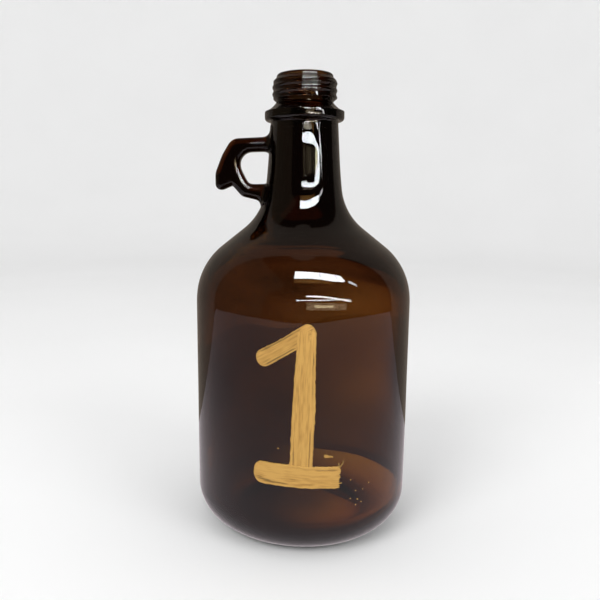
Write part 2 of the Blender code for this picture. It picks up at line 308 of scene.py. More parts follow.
def outer_ring(angles, radius, height):
    """The outer radius at every column of one row, with the thread, seams and knurling of the mould."""
    ring = np.full_like(angles, radius)
    if FINISH_BOTTOM < height < FINISH_TOP:
        ring += thread_rise(angles, height)
    if height > BEAD_BOTTOM - BEAD_FILLET or height < 0.2:
        return ring
    heel_turn = math.degrees(math.asin(np.clip((HEEL_RADIUS - height) / HEEL_RADIUS, -1.0, 1.0)))
    from_bearing = 90.0 - heel_turn
    if height > HEEL_RADIUS * 0.3:
        from_seam = (angles + 90.0) % 180.0 - 90.0
        arc_length = np.radians(from_seam) * radius
        ring += SEAM_RISE * np.exp(-((arc_length / SEAM_WIDTH) ** 2))
    waves = soft_waves(angles, height, seed=11, around=9, upright=60.0)
    ring += OUTER_WAVE * min(1.0, height / HEEL_RADIUS) * waves
    if height < HEEL_RADIUS:
        ring += SEAM_RISE * math.exp(-(((from_bearing - BASE_SEAM_ANGLE) / BASE_SEAM_SPREAD) ** 2))
        if KNURL_ANGLES[0] < from_bearing < KNURL_ANGLES[1]:
            ring += KNURL_RISE * np.cos(np.radians(angles * COLUMNS / 2))
    return ring


def inner_ring(angles, radius, height):
    swell = min(1.0, height / 60.0) * min(1.0, max(0.0, (NECK_BORE_START - height) / 40.0))
    return radius + INNER_WAVE * swell * soft_waves(angles, height, seed=5, around=5, upright=90.0)


def mesh_object(name, vertices, faces):
    mesh = bpy.data.meshes.new(name)
    mesh.from_pydata([tuple(v) for v in vertices], [], faces)
    mesh.update()
    item = bpy.data.objects.new(name, mesh)
    bpy.context.scene.collection.objects.link(item)
    return item


def turned_mesh(name, rings, angles, first_height, last_height):
    """A closed turned shape: rings is a list of (radii, height); both ends close on the axis."""
    turn = np.radians(angles)
    count = len(angles)
    vertices = [(0.0, 0.0, first_height * MM)]
    for radii, height in rings:
        for radius, angle in zip(radii, turn):
            vertices.append((radius * math.cos(angle) * MM, radius * math.sin(angle) * MM, height * MM))
    vertices.append((0.0, 0.0, last_height * MM))
    last = len(vertices) - 1
    faces = []
    for step in range(count):
        after = (step + 1) % count
        faces.append((0, 1 + after, 1 + step))
        faces.append((last, last - count + step, last - count + after))
    for row in range(len(rings) - 1):
        low = 1 + row * count
        high = low + count
        for step in range(count):
            after = (step + 1) % count
            faces.append((low + step, low + after, high + after, high + step))
    return mesh_object(name, vertices, faces)


def turned_glass():
    angles = column_angles()
    outer = outer_rows()
    inner = inner_rows()
    rings = [(outer_ring(angles, radius, height), height) for radius, height in outer[1:]]
    rings += [(inner_ring(angles, radius, height), height) for radius, height in inner[:-1]]
    return turned_mesh("glass_jug_fine", rings, angles, outer[0][1], inner[-1][1])


def rounded_outline(corners, step=9.0):
    """The points of a closed outline whose corners are each rounded by their own radius."""
    points = []
    count = len(corners)
    for index, (x, z, radius) in enumerate(corners):
        corner = Vector((x, z))
        before = Vector(corners[index - 1][:2]) - corner
        after = Vector(corners[(index + 1) % count][:2]) - corner
        opening = before.angle(after)
        if radius <= 0.0:
            points.append((x, z))
            continue
        reach = radius / math.tan(opening / 2)
        start = corner + before.normalized() * reach
        middle = (before.normalized() + after.normalized()).normalized()
        centre = corner + middle * radius / math.sin(opening / 2)
        sweep = math.pi - opening
        side = 1.0 if before.x * after.y - before.y * after.x < 0.0 else -1.0
        pieces = max(1, math.ceil(math.degrees(sweep) / step))
        spoke = start - centre
        for piece in range(pieces + 1):
            turn = side * sweep * piece / pieces
            across = spoke.x * math.cos(turn) - spoke.y * math.sin(turn)
            up = spoke.x * math.sin(turn) + spoke.y * math.cos(turn)
            points.append((centre.x + across, centre.y + up))
    return points


def signed_area(points):
    total = 0.0
    for (x0, z0), (x1, z1) in zip(points, points[1:] + points[:1]):
        total += (x0 * z1 - x1 * z0) / 2
    return total


def evaluated_copy(item, name):
    """A new mesh object of what an object's modifiers or curve settings make, in place of it."""
    bpy.context.view_layer.update()
    graph = bpy.context.evaluated_depsgraph_get()
    mesh = bpy.data.meshes.new_from_object(item.evaluated_get(graph))
    bpy.data.objects.remove(item, do_unlink=True)
    copy = bpy.data.objects.new(name, mesh)
    bpy.context.scene.collection.objects.link(copy)
    return copy


def flat_loop():
    """The loop and its hook as a flat plate with rounded edges, lying in X-Z."""
    curve = bpy.data.curves.new("loop_outline", "CURVE")
    curve.dimensions = "2D"
    curve.fill_mode = "BOTH"
    curve.extrude = (LOOP_HALF_THICKNESS - LOOP_EDGE_ROUND) * MM
    curve.bevel_depth = LOOP_EDGE_ROUND * MM
    curve.bevel_resolution = 5
    curve.offset = (LOOP_POLISH - LOOP_EDGE_ROUND) * MM
    for corners, clockwise in ((LOOP_OUTLINE, True), (FINGER_HOLE, False)):
        points = rounded_outline(corners)
        if (signed_area(points) < 0.0) != clockwise:
            points.reverse()
        spline = curve.splines.new("POLY")
        spline.points.add(len(points) - 1)
        for point, (x, z) in zip(spline.points, points):
            point.co = (x * MM, z * MM, 0.0, 1.0)
        spline.use_cyclic_u = True
    draft = bpy.data.objects.new("loop_outline", curve)
    bpy.context.scene.collection.objects.link(draft)
    plate = evaluated_copy(draft, "loop_plate")
    form = bmesh.new()
    form.from_mesh(plate.data)
    bmesh.ops.remove_doubles(form, verts=form.verts, dist=0.01 * MM)
    for point in form.verts:
        point.co = Vector((point.co.x, -point.co.z, point.co.y))
    bmesh.ops.recalc_face_normals(form, faces=form.faces)
    form.to_mesh(plate.data)
    form.free()
    return plate


def finger_loop():
    """The plate made soft like fire-polished glass, and flared sideways where it runs into the neck."""
    plate = flat_loop()
    remesh = plate.modifiers.new("even_skin", "REMESH")
    remesh.mode = "VOXEL"
    remesh.voxel_size = LOOP_VOXEL * MM
    smooth = plate.modifiers.new("fire_polish", "SMOOTH")
    smooth.factor = 0.5
    smooth.iterations = 14
    loop = evaluated_copy(plate, "finger_loop_fine")
    profile = np.array([row for row in outer_rows() if row[1] > WALL_TOP])
    normals = [vertex.normal.copy() for vertex in loop.data.vertices]
    for vertex, normal in zip(loop.data.vertices, normals):
        wall = np.interp(vertex.co.z / MM, profile[:, 1], profile[:, 0])
        clear = math.hypot(vertex.co.x, vertex.co.y) / MM - wall
        near = LOOP_FILLET - min(LOOP_FILLET, max(0.0, clear))
        flare = LOOP_FILLET - math.sqrt(LOOP_FILLET**2 - near**2)
        vertex.co.y += math.copysign(abs(normal.y) * flare * MM, vertex.co.y)
    return loop


def neck_core():
    """A plug that follows the neck inside its wall, to keep the loop out of the hollow."""
    angles = np.arange(96) * 360.0 / 96
    rings = []
    for radius, height in shoulder_and_neck(WALL / 2, BEAD_BOTTOM):
        if height > WALL_TOP + 20.0:
            rings.append((np.full_like(angles, radius), height))
    return turned_mesh("neck_core", rings, angles, rings[0][1], rings[-1][1])


def boolean(item, tool, operation):
    cut = item.modifiers.new(operation.lower(), "BOOLEAN")
    cut.operation = operation
    cut.solver = "MANIFOLD"
    cut.object = tool


def smooth_shade(item, sharp_degrees):
    item.data.shade_smooth()
    item.data.set_sharp_from_angle(angle=math.radians(sharp_degrees))


def glass_jug():
    loop = finger_loop()
    core = neck_core()
    boolean(loop, core, "DIFFERENCE")
    loop = evaluated_copy(loop, "finger_loop_cut")
    bpy.data.objects.remove(core, do_unlink=True)
    jug = turned_glass()
    boolean(jug, loop, "UNION")
    jug = evaluated_copy(jug, "glass_jug_fine")
    bpy.data.objects.remove(loop, do_unlink=True)
    smooth_shade(jug, 50.0)
    return jug


# ---- the paint ----------------------------------------------------------------------------------

# The film of paint, its grid of bristles and rows, and how its thickness and its edge wander
PAINT_BED = 0.05
PAINT_EDGE = 0.07
BRISTLE_SPACING = 0.42
ROW_SPACING = 0.55
BUNCHING = 0.86
END_SQUARENESS = 2.4
EDGE_WANDER = 0.40
BRISTLE_RIDGE = 0.16
FILM_SWELL = 0.22
EDGE_THINNING = 0.5
EDGE_START = 0.05
THINNEST_RISE = 0.02
DIRECTION_REACH = 2.5
STREAK_WIDTH = 0.055
STREAK_FADE = 0.06
DROP_CORNERS = 18
DROP_WOBBLE = 0.28
DROP_RISE = 0.22


def wall_radius(height):
    """The body's outer radius at a height on its wall or shoulder."""
    profile = np.array(shoulder_and_neck(0.0, BEAD_BOTTOM))
    return float(np.interp(height, profile[:, 1], profile[:, 0]))


def on_wall(along, height, rise):
    """A point this far proud of the glass, from its unrolled place on the wall."""
    radius = wall_radius(height) + rise
    turn = along / BODY_RADIUS
    return (radius * math.sin(turn) * MM, -radius * math.cos(turn) * MM, height * MM)


def smooth_noise(draw, count, spacing, reach):
    """A wandering line of values between -1 and 1 that changes over about each reach."""
    knots = max(4, round(count * spacing / reach) + 3)
    values = draw.uniform(-1.0, 1.0, knots)
    place = np.linspace(0.0, knots - 1, count)
    low = np.floor(place).astype(int).clip(0, knots - 2)
    share = place - low
    share = share * share * (3.0 - 2.0 * share)
    return values[low] * (1.0 - share) + values[low + 1] * share


class Spine:
    """The middle line of a brush stroke: straight runs through a few points, with its half width.
    Its direction is taken over a longer reach, so it turns gently."""

    def __init__(self, points):
        self.points = np.array(points)
        steps = np.hypot(*np.diff(self.points[:, :2], axis=0).T)
        self.reach = np.concatenate([[0.0], np.cumsum(steps)])
        self.length = self.reach[-1]

    def at(self, distance):
        """The point, half width and direction at a distance along the stroke."""
        place = [np.interp(distance, self.reach, self.points[:, axis]) for axis in range(3)]
        after = distance + DIRECTION_REACH
        before = distance - DIRECTION_REACH
        ahead = [np.interp(after, self.reach, self.points[:, axis]) for axis in range(2)]
        behind = [np.interp(before, self.reach, self.points[:, axis]) for axis in range(2)]
        direction = np.array([ahead[0] - behind[0], ahead[1] - behind[1]])
        return place, direction / np.hypot(*direction)


def trimmed_end(draw, across, half, roundness, ragged):
    """How far each bristle stops short of an end of the stroke."""
    squared = np.sqrt(np.maximum(0.0, 1.0 - np.abs(across) ** END_SQUARENESS))
    return roundness * half * (1.0 - squared) + ragged * draw.uniform(0.0, 1.0, len(across)) ** 2


def wandering_edge(draw, count):
    """How far a side of the stroke strays at each row: a slow wander with a finer one on it."""
    slow = smooth_noise(draw, count, ROW_SPACING, reach=4.0)
    return slow + 0.4 * smooth_noise(draw, count, ROW_SPACING, reach=1.2)


def dried_out(rise, film, streaks, across, share):
    """The rise of the film at one place, after the dry lines that cross it."""
    for place, start, end, bare in streaks:
        inside = min(1.0, max(0.0, min(share - start, end - share) / STREAK_FADE))
        rise -= film * bare * inside * math.exp(-(((across - place) / STREAK_WIDTH) ** 2))
    return rise


def sheet_faces(rows, columns):
    """Faces of a closed sheet: its grid of tops, the same grid of beds after it, and its four edges."""
    wide = columns + 1
    size = wide * (rows + 1)
    faces = []
    for row in range(rows):
        for column in range(columns):
            corner = row * wide + column
            quad = (corner, corner + 1, corner + wide + 1, corner + wide)
            faces.append(quad[::-1])
            faces.append(tuple(index + size for index in quad))
    for row in range(rows):
        for corner, flip in ((row * wide, False), (row * wide + columns, True)):
            quad = (corner, corner + wide, corner + wide + size, corner + size)
            faces.append(quad[::-1] if flip else quad)
    for column in range(columns):
        for corner, flip in ((column, True), (rows * wide + column, False)):
            quad = (corner, corner + 1, corner + 1 + size, corner + size)
            faces.append(quad[::-1] if flip else quad)
    return faces


def paint_object(name, vertices, faces, films, coordinates):
    """A piece of paint. It stores how thick the film is, and each point's place along and across
    the stroke, for the material."""
    item = mesh_object(name, vertices, faces)
    form = bmesh.new()
    form.from_mesh(item.data)
    bmesh.ops.recalc_face_normals(form, faces=form.faces)
    form.to_mesh(item.data)
    form.free()
    film = item.data.attributes.new("film", "FLOAT", "POINT")
    film.data.foreach_set("value", films)
    brush = item.data.uv_layers.new(name="brush")
    for loop in item.data.loops:
        brush.data[loop.index].uv = coordinates[loop.vertex_index]
    smooth_shade(item, 60.0)
    return item


def brush_stroke(name, spine_points, film, round_start, round_end, ragged, streaks, seed):
    """A film of paint drawn along a spine. The bristles leave ridges, and end where they run dry.

    round_start and round_end are how far the corners of an end are cut back, as a share of the half
    width, and ragged is how far its bristles differ. streaks are the dry lines where the dark glass
    shows: across (-1 to 1), from and to along the stroke as shares of its length, and how bare the
    line is.
    """
    draw = np.random.default_rng(seed)
    spine = Spine(spine_points)
    half = float(np.max(spine.points[:, 2]))
    columns = max(6, round(2 * half / BRISTLE_SPACING))
    rows = max(6, round(spine.length / ROW_SPACING))
    across = np.sin(np.linspace(-1.0, 1.0, columns + 1) * math.pi / 2 * BUNCHING)
    across = across / math.sin(math.pi / 2 * BUNCHING)
    start_trim = trimmed_end(draw, across, half, round_start, ragged[0])
    end_trim = trimmed_end(draw, across, half, round_end, ragged[1])
    left_edge = wandering_edge(draw, rows + 1)
    right_edge = wandering_edge(draw, rows + 1)
    bristle = draw.uniform(-1.0, 1.0, columns + 1)
    swell = [smooth_noise(draw, rows + 1, ROW_SPACING, reach=6.0) for _ in range(columns + 1)]
    tops, beds, films, coordinates = [], [], [], []
    for row in range(rows + 1):
        for column in range(columns + 1):
            room = spine.length - start_trim[column] - end_trim[column]
            distance = start_trim[column] + room * row / rows
            (along, height, reach), direction = spine.at(distance)
            offset = across[column] * reach
            edge = left_edge[row] if across[column] > 0 else right_edge[row]
            offset += math.copysign(abs(across[column]) ** 4 * EDGE_WANDER * edge, across[column])
            along -= direction[1] * offset
            height += direction[0] * offset
            rise = film * (1.0 + BRISTLE_RIDGE * bristle[column] + FILM_SWELL * swell[column][row])
            rise = dried_out(rise, film, streaks, across[column], distance / spine.length)
            to_edge = min(half * (1.0 - abs(across[column])), distance - start_trim[column] + EDGE_START)
            to_edge = min(to_edge, spine.length - end_trim[column] - distance + EDGE_START)
            thinning = min(1.0, max(0.0, to_edge) / EDGE_THINNING) ** 0.5
            rise = PAINT_EDGE + max(THINNEST_RISE, rise - PAINT_EDGE) * thinning
            tops.append(on_wall(along, height, rise + PAINT_BED))
            beds.append(on_wall(along, height, PAINT_BED))
            films.append(min(1.0, max(0.0, (rise - PAINT_EDGE) / film)))
            coordinates.append((distance, offset))
    return paint_object(name, tops + beds, sheet_faces(rows, columns), films * 2, coordinates * 2)


def dried_drop(name, along, height, radius, seed):
    """A low, uneven blob of dried paint."""
    draw = np.random.default_rng(seed)
    wobble = 1.0 + DROP_WOBBLE * smooth_noise(draw, DROP_CORNERS, spacing=1.0, reach=3.0)
    wobble[-1] = wobble[0]
    stretch = draw.uniform(0.75, 1.3)
    shares = (1.0, 0.93, 0.75, 0.5, 0.25)
    rings = []
    for share in shares + (0.0,):
        rings.append((share, PAINT_BED + DROP_RISE * radius * math.sqrt(1.0 - share**2) + 0.01))
    rings.append((1.0, PAINT_BED))
    vertices, films, coordinates = [], [], []
    for share, rise in rings:
        for corner in range(DROP_CORNERS if share else 1):
            turn = 2 * math.pi * corner / DROP_CORNERS
            reach = radius * share * wobble[corner]
            place = (along + reach * stretch * math.cos(turn), height + reach / stretch * math.sin(turn))
            vertices.append(on_wall(*place, rise))
            films.append(1.0 - 0.6 * share)
            coordinates.append(place)
    faces = []
    top = len(shares) * DROP_CORNERS
    inner = top - DROP_CORNERS
    under = top + 1
    for corner in range(DROP_CORNERS):
        after = (corner + 1) % DROP_CORNERS
        for low in range(0, inner, DROP_CORNERS):
            high = low + DROP_CORNERS
            faces.append((low + corner, low + after, high + after, high + corner))
        faces.append((inner + corner, inner + after, top))
        faces.append((under + corner, under + after, after, corner))
    faces.append(tuple(under + corner for corner in reversed(range(DROP_CORNERS))))
    return paint_object(name, vertices, faces, films, coordinates)


def join(items, name):
    """Several meshes as one piece."""
    form = bmesh.new()
    for item in items:
        form.from_mesh(item.data)
    mesh = bpy.data.meshes.new(name)
    form.to_mesh(mesh)
    form.free()
    for item in items:
        bpy.data.objects.remove(item, do_unlink=True)
    piece = bpy.data.objects.new(name, mesh)
    bpy.context.scene.collection.objects.link(piece)
    smooth_shade(piece, 60.0)
    return piece


# ---- materials ----------------------------------------------------------------------------------


class Nodes:
    """Short forms for building a node tree."""

    def __init__(self, name):
        self.material = bpy.data.materials.new(name)
        self.material.use_nodes = True
        self.tree = self.material.node_tree
        self.shader = self.tree.nodes["Principled BSDF"]
        self.output = self.tree.nodes["Material Output"]

    def add(self, kind, **settings):
        node = self.tree.nodes.new(kind)
        for key, value in settings.items():
            setattr(node, key, value)
        return node

    def link(self, source, target):
        self.tree.links.new(source, target)

    def noise(self, vector, scale, detail=3.0):
        texture = self.add("ShaderNodeTexNoise")
        texture.inputs["Scale"].default_value = scale
        texture.inputs["Detail"].default_value = detail
        self.link(vector, texture.inputs["Vector"])
        return texture.outputs["Fac"]

    def stretched(self, vector, scale):
        mapping = self.add("ShaderNodeMapping")
        mapping.inputs["Scale"].default_value = scale
        self.link(vector, mapping.inputs["Vector"])
        return mapping.outputs["Vector"]

    def ramp(self, factor, stops):
        ramp = self.add("ShaderNodeValToRGB")
        for element, (place, colour) in zip(ramp.color_ramp.elements, (stops[0], stops[-1])):
            element.position = place
            element.color = (*colour, 1.0)
        for place, colour in stops[1:-1]:
            element = ramp.color_ramp.elements.new(place)
            element.color = (*colour, 1.0)
        self.link(factor, ramp.inputs["Fac"])
        return ramp.outputs["Color"]

    def math(self, operation, first, second):
        node = self.add("ShaderNodeMath", operation=operation)
        for value, target in ((first, node.inputs[0]), (second, node.inputs[1])):
            if isinstance(value, float):
                target.default_value = value
            else:
                self.link(value, target)
        return node.outputs["Value"]

    def bump(self, height, distance, strength):
        bump = self.add("ShaderNodeBump")
        bump.inputs["Distance"].default_value = distance
        bump.inputs["Strength"].default_value = strength
        self.link(height, bump.inputs["Height"])
        self.link(bump.outputs["Normal"], self.shader.inputs["Normal"])


def amber_glass():
    """Clear glass that soaks up blue and green inside its wall, faintly smudged on its surface."""
    nodes = Nodes("amber_glass_fine")
    shader = nodes.shader
    shader.inputs["Base Color"].default_value = (1.0, 1.0, 1.0, 1.0)
    shader.inputs["Transmission Weight"].default_value = 1.0
    shader.inputs["IOR"].default_value = 1.5
    place = nodes.add("ShaderNodeTexCoord").outputs["Object"]
    smudge = nodes.noise(place, 38.0, 4.0)
    roughness = nodes.math("SUBTRACT", nodes.math("MULTIPLY", smudge, 0.06), 0.012)
    nodes.link(roughness, shader.inputs["Roughness"])
    nodes.bump(nodes.noise(nodes.stretched(place, (1.0, 1.0, 0.35)), 60.0, 1.0), 0.00002, 0.15)
    absorb = nodes.add("ShaderNodeVolumeAbsorption")
    absorb.inputs["Color"].default_value = (0.53, 0.31, 0.06, 1.0)
    absorb.inputs["Density"].default_value = 700.0
    nodes.link(absorb.outputs["Volume"], nodes.output.inputs["Volume"])
    return nodes.material


def gold_paint():
    """Craft paint brushed on: paler where it lies thick, olive where the dark glass shows through."""
    nodes = Nodes("gold_paint_fine")
    brush = nodes.add("ShaderNodeUVMap", uv_map="brush").outputs["UV"]
    fine = nodes.noise(nodes.stretched(brush, (0.20, 2.2, 1.0)), 1.0, 5.0)
    broad = nodes.noise(nodes.stretched(brush, (0.16, 0.45, 1.0)), 1.0, 2.0)
    film = nodes.add("ShaderNodeAttribute", attribute_name="film").outputs["Fac"]
    cover = nodes.math("ADD", nodes.math("MULTIPLY", film, 0.75), nodes.math("MULTIPLY", fine, 0.42))
    cover = nodes.math("ADD", cover, nodes.math("MULTIPLY", broad, 0.28))
    colour = nodes.ramp(
        cover,
        (
            (0.24, (0.085, 0.055, 0.014)),
            (0.50, (0.25, 0.145, 0.033)),
            (0.74, (0.42, 0.225, 0.048)),
            (1.0, (0.54, 0.31, 0.074)),
        ),
    )
    nodes.link(colour, nodes.shader.inputs["Base Color"])
    nodes.shader.inputs["Roughness"].default_value = 0.5
    nodes.shader.inputs["Metallic"].default_value = 0.12
    nodes.bump(fine, 0.00008, 0.6)
    return nodes.material


def matte(name, colour, variation=0.02):
    nodes = Nodes(name)
    place = nodes.add("ShaderNodeTexCoord").outputs["Object"]
    grain = nodes.noise(place, 3.0, 2.0)
    low = tuple(value - variation for value in colour)
    nodes.link(nodes.ramp(grain, ((0.3, low), (0.7, colour))), nodes.shader.inputs["Base Color"])
    nodes.shader.inputs["Roughness"].default_value = 0.9
    nodes.shader.inputs["Specular IOR Level"].default_value = 0.1
    return nodes.material


def glow(name, colour, strength, uneven=0.0, scale=1.7, centre=None, reach=1.0, rest=0.0, clear=False):
    """A plain light source. uneven lets its strength wander over soft patches. With a centre, it
    fades from there to rest, as a share of its strength, at the given reach. A clear one lets what
    lies behind it show."""
    nodes = Nodes(name)
    emission = nodes.add("ShaderNodeEmission")
    emission.inputs["Color"].default_value = (*colour, 1.0)
    emission.inputs["Strength"].default_value = strength
    place = nodes.add("ShaderNodeTexCoord").outputs["Object"]
    level = None
    if uneven:
        patches = nodes.noise(nodes.stretched(place, (1.0, 1.0, 2.2)), scale, 3.0)
        contrast = nodes.math("MULTIPLY", nodes.math("SUBTRACT", patches, 0.5), 6.0 * uneven)
        level = nodes.math("MULTIPLY", nodes.math("ADD", contrast, 1.0), float(strength))
        level = nodes.math("MAXIMUM", level, 0.1 * strength)
    if centre:
        away = nodes.add("ShaderNodeVectorMath", operation="DISTANCE")
        nodes.link(place, away.inputs[0])
        away.inputs[1].default_value = centre
        near = nodes.add("ShaderNodeMapRange", interpolation_type="SMOOTHSTEP")
        nodes.link(away.outputs["Value"], near.inputs["Value"])
        near.inputs["From Min"].default_value = 0.0
        near.inputs["From Max"].default_value = reach
        near.inputs["To Min"].default_value = 1.0
        near.inputs["To Max"].default_value = rest
        fade = near.outputs["Result"]
        level = nodes.math("MULTIPLY", fade, level if uneven else float(strength))
    if level:
        nodes.link(level, emission.inputs["Strength"])
    surface = emission.outputs["Emission"]
    if clear:
        both = nodes.add("ShaderNodeAddShader")
        nodes.link(surface, both.inputs[0])
        nodes.link(nodes.add("ShaderNodeBsdfTransparent").outputs["BSDF"], both.inputs[1])
        surface = both.outputs["Shader"]
    nodes.link(surface, nodes.output.inputs["Surface"])
    nodes.material.cycles.emission_sampling = "NONE"
    return nodes.material


# ---- the studio ---------------------------------------------------------------------------------

# The glass mirrors a dim room, with high windows in front and a plain backdrop behind. Directions are
# in degrees round a point at this height. The windows are kept near, so that the highlights of the
# shoulder and of the neck fall in place at once.
EYE_HEIGHT = 0.155
SKYLIGHT_REACH = 0.25
WINDOW_REACH = 0.40
WALL_REACH = 2.0
ROOM_REACH = 3.0
FLOOR_LEVEL = 0.0006
FLOOR_FRONT = 0.74
FLOOR_SIDE = 0.95
FLOOR_BACK = 0.145
BACKDROP_SIDE = 104.0
COOL_WHITE = (0.92, 0.96, 1.0)
WARM_WHITE = (1.0, 0.97, 0.92)
# Azimuth, lower and upper elevation of the skylight's outline, and where its panes are divided
SKYLIGHT = (
    (-10.0, 39.8, 51.0),
    (9.0, 40.3, 50.8),
    (21.0, 37.6, 48.6),
    (34.0, 33.0, 44.6),
    (45.0, 29.8, 38.6),
)
SKYLIGHT_PANES = ((-10.0, 20.4), (21.2, 37.6), (38.4, 45.0))
# The camera: where it is, how it is turned in degrees, and its lens
CAMERA_PLACE = (0.0, -0.3857, 0.2007)
CAMERA_TURN = -2.97
CAMERA_TIP = 9.40
CAMERA_ROLL = 0.17
LENS = 37.79
LENS_SHIFT = (0.0497, -0.001)


def stage_only(item, camera=False, glossy=False, transmission=False, diffuse=False, shadow=False):
    item.visible_camera = camera
    item.visible_glossy = glossy
    item.visible_transmission = transmission
    item.visible_diffuse = diffuse
    item.visible_shadow = shadow
    return item


def dome_point(azimuth, elevation, radius):
    """A point of the dome, from its azimuth from -Y towards +X and its elevation in degrees."""
    turn, rise = math.radians(azimuth), math.radians(elevation)
    level = radius * math.cos(rise)
    return (level * math.sin(turn), -level * math.cos(turn), EYE_HEIGHT + radius * math.sin(rise))


def dome_patch(name, knots, radius, material, **seen_by):
    """A patch of a dome round the bottle. Each knot is an azimuth, and the elevations of the
    patch's lower and upper edge there."""
    places = np.array([knot[0] for knot in knots])
    lows = np.array([knot[1] for knot in knots])
    highs = np.array([knot[2] for knot in knots])
    across = max(4, math.ceil((places[-1] - places[0]) / 2.5))
    up = max(2, math.ceil(float(np.max(highs - lows)) / 5.0))
    vertices, faces = [], []
    for turn in np.linspace(places[0], places[-1], across + 1):
        low = float(np.interp(turn, places, lows))
        high = float(np.interp(turn, places, highs))
        for rise in range(up + 1):
            vertices.append(dome_point(turn, low + (high - low) * rise / up, radius))
    for step in range(across):
        for rise in range(up):
            corner = step * (up + 1) + rise
            faces.append((corner, corner + up + 1, corner + up + 2, corner + 1))
    item = mesh_object(name, vertices, faces)
    item.data.materials.append(material)
    return stage_only(item, **seen_by)


def window(name, knots, radius, colour, strength, **pattern):
    """A glowing patch of the dome that only reflections see."""
    dome_patch(name, knots, radius, glow(name, colour, strength, **pattern), glossy=True)


def dome_ring(name, low, high, radius, material, **seen_by):
    return dome_patch(name, ((0.0, low, high), (360.0, low, high)), radius, material, **seen_by)


def floor_sheen():
    """The table top that the lower wall mirrors: a rounded front, and a straight edge behind the jug."""
    vertices = [(0.0, 0.0, FLOOR_LEVEL)]
    start = math.degrees(math.acos(-FLOOR_BACK / FLOOR_FRONT))
    count = 48
    for step in range(count + 1):
        turn = math.radians(-start + 2 * start * step / count)
        vertices.append((FLOOR_SIDE * math.sin(turn), -FLOOR_FRONT * math.cos(turn), FLOOR_LEVEL))
    faces = [(0, 1 + step, 2 + step) for step in range(count)] + [(0, count + 1, 1)]
    item = mesh_object("floor_sheen", vertices, faces)
    sheen = glow("floor_sheen", (0.94, 0.84, 0.88), 0.78, centre=(0.0, 0.0, 0.0), reach=0.42, rest=0.62)
    item.data.materials.append(sheen)
    return stage_only(item, glossy=True)


def studio_bowl():
    """A pale floor that curves up all round into a wall, so it has no horizon from any side."""
    floor_radius, bend, wall = 1.6, 0.9, 2.4
    profile = [(0.0, 0.0), (0.15, 0.0), (0.4, 0.0), (0.9, 0.0), (floor_radius, 0.0)]
    for step in range(1, 13):
        turn = math.radians(90.0 * step / 12)
        profile.append((floor_radius + bend * math.sin(turn), bend - bend * math.cos(turn)))
    profile.append((floor_radius + bend, wall))
    vertices, faces = [(0.0, 0.0, 0.0)], []
    steps = 96
    for radius, height in profile[1:]:
        for step in range(steps):
            turn = 2 * math.pi * step / steps
            vertices.append((radius * math.cos(turn), radius * math.sin(turn), height))
    for step in range(steps):
        after = (step + 1) % steps
        faces.append((0, 1 + step, 1 + after))
        for ring in range(len(profile) - 2):
            low = 1 + ring * steps
            faces.append((low + step, low + steps + step, low + steps + after, low + after))
    item = mesh_object("studio_bowl", vertices, faces)
    item.data.shade_smooth()
    item.data.materials.append(matte("studio_paper", (0.93, 0.93, 0.93)))
    return stage_only(item, camera=True, diffuse=True, shadow=True)


def soft_light(name, place, target, size, watts):
    data = bpy.data.lights.new(name, "AREA")
    data.shape = "DISK"
    data.size = size
    data.energy = watts
    light = bpy.data.objects.new(name, data)
    bpy.context.scene.collection.objects.link(light)
    light.location = place
    light.rotation_euler = (Vector(target) - Vector(place)).to_track_quat("-Z", "Y").to_euler()
    light.visible_glossy = False
    light.visible_transmission = False
    light.visible_camera = False
    return light


def studio():
    world = bpy.data.worlds.new("studio_air")
    world.use_nodes = True
    bpy.context.scene.world = world
    background = world.node_tree.nodes["Background"]
    background.inputs["Color"].default_value = (1.0, 1.0, 1.0, 1.0)
    background.inputs["Strength"].default_value = 0.75
    world.cycles_visibility.glossy = False
    world.cycles_visibility.transmission = False
    studio_bowl()
    bottle_middle = (0.0, 0.0, 0.12)
    soft_light("key_softbox", (-0.9, -1.3, 1.3), bottle_middle, size=1.0, watts=16.0)
    soft_light("fill_softbox", (1.2, -1.0, 0.9), bottle_middle, size=1.0, watts=8.0)
    reflected_room()
    seen_through_glass()


def skylight():
    """The high windows, which run down towards the right, and one more pane beyond a gap."""
    white = glow("skylight", COOL_WHITE, 28.0)
    turns, lows, highs = zip(*SKYLIGHT)
    for index, pane in enumerate(SKYLIGHT_PANES, start=1):
        stops = [pane[0]] + [turn for turn in turns if pane[0] < turn < pane[1]] + [pane[1]]
        knots = [(turn, np.interp(turn, turns, lows), np.interp(turn, turns, highs)) for turn in stops]
        dome_patch(f"skylight_{index}", knots, SKYLIGHT_REACH, white, glossy=True)
    far_pane = ((48.6, 27.6, 31.6), (55.6, 22.4, 25.4))
    dome_patch("skylight_4", far_pane, SKYLIGHT_REACH, glow("far_pane", COOL_WHITE, 14.0), glossy=True)
    # An amber strip just under the skylight, seen only in reflections: a painted reflection that stands
    # in for the skylight's amber echo from the inside of the glass wall.
    echo_outline = ((-9.5, 33.5, 39.8), (21.0, 32.0, 37.6), (31.0, 29.0, 33.4))
    window("skylight_echo", echo_outline, SKYLIGHT_REACH, (1.0, 0.5, 0.15), 1.4, uneven=0.4, scale=20.0)


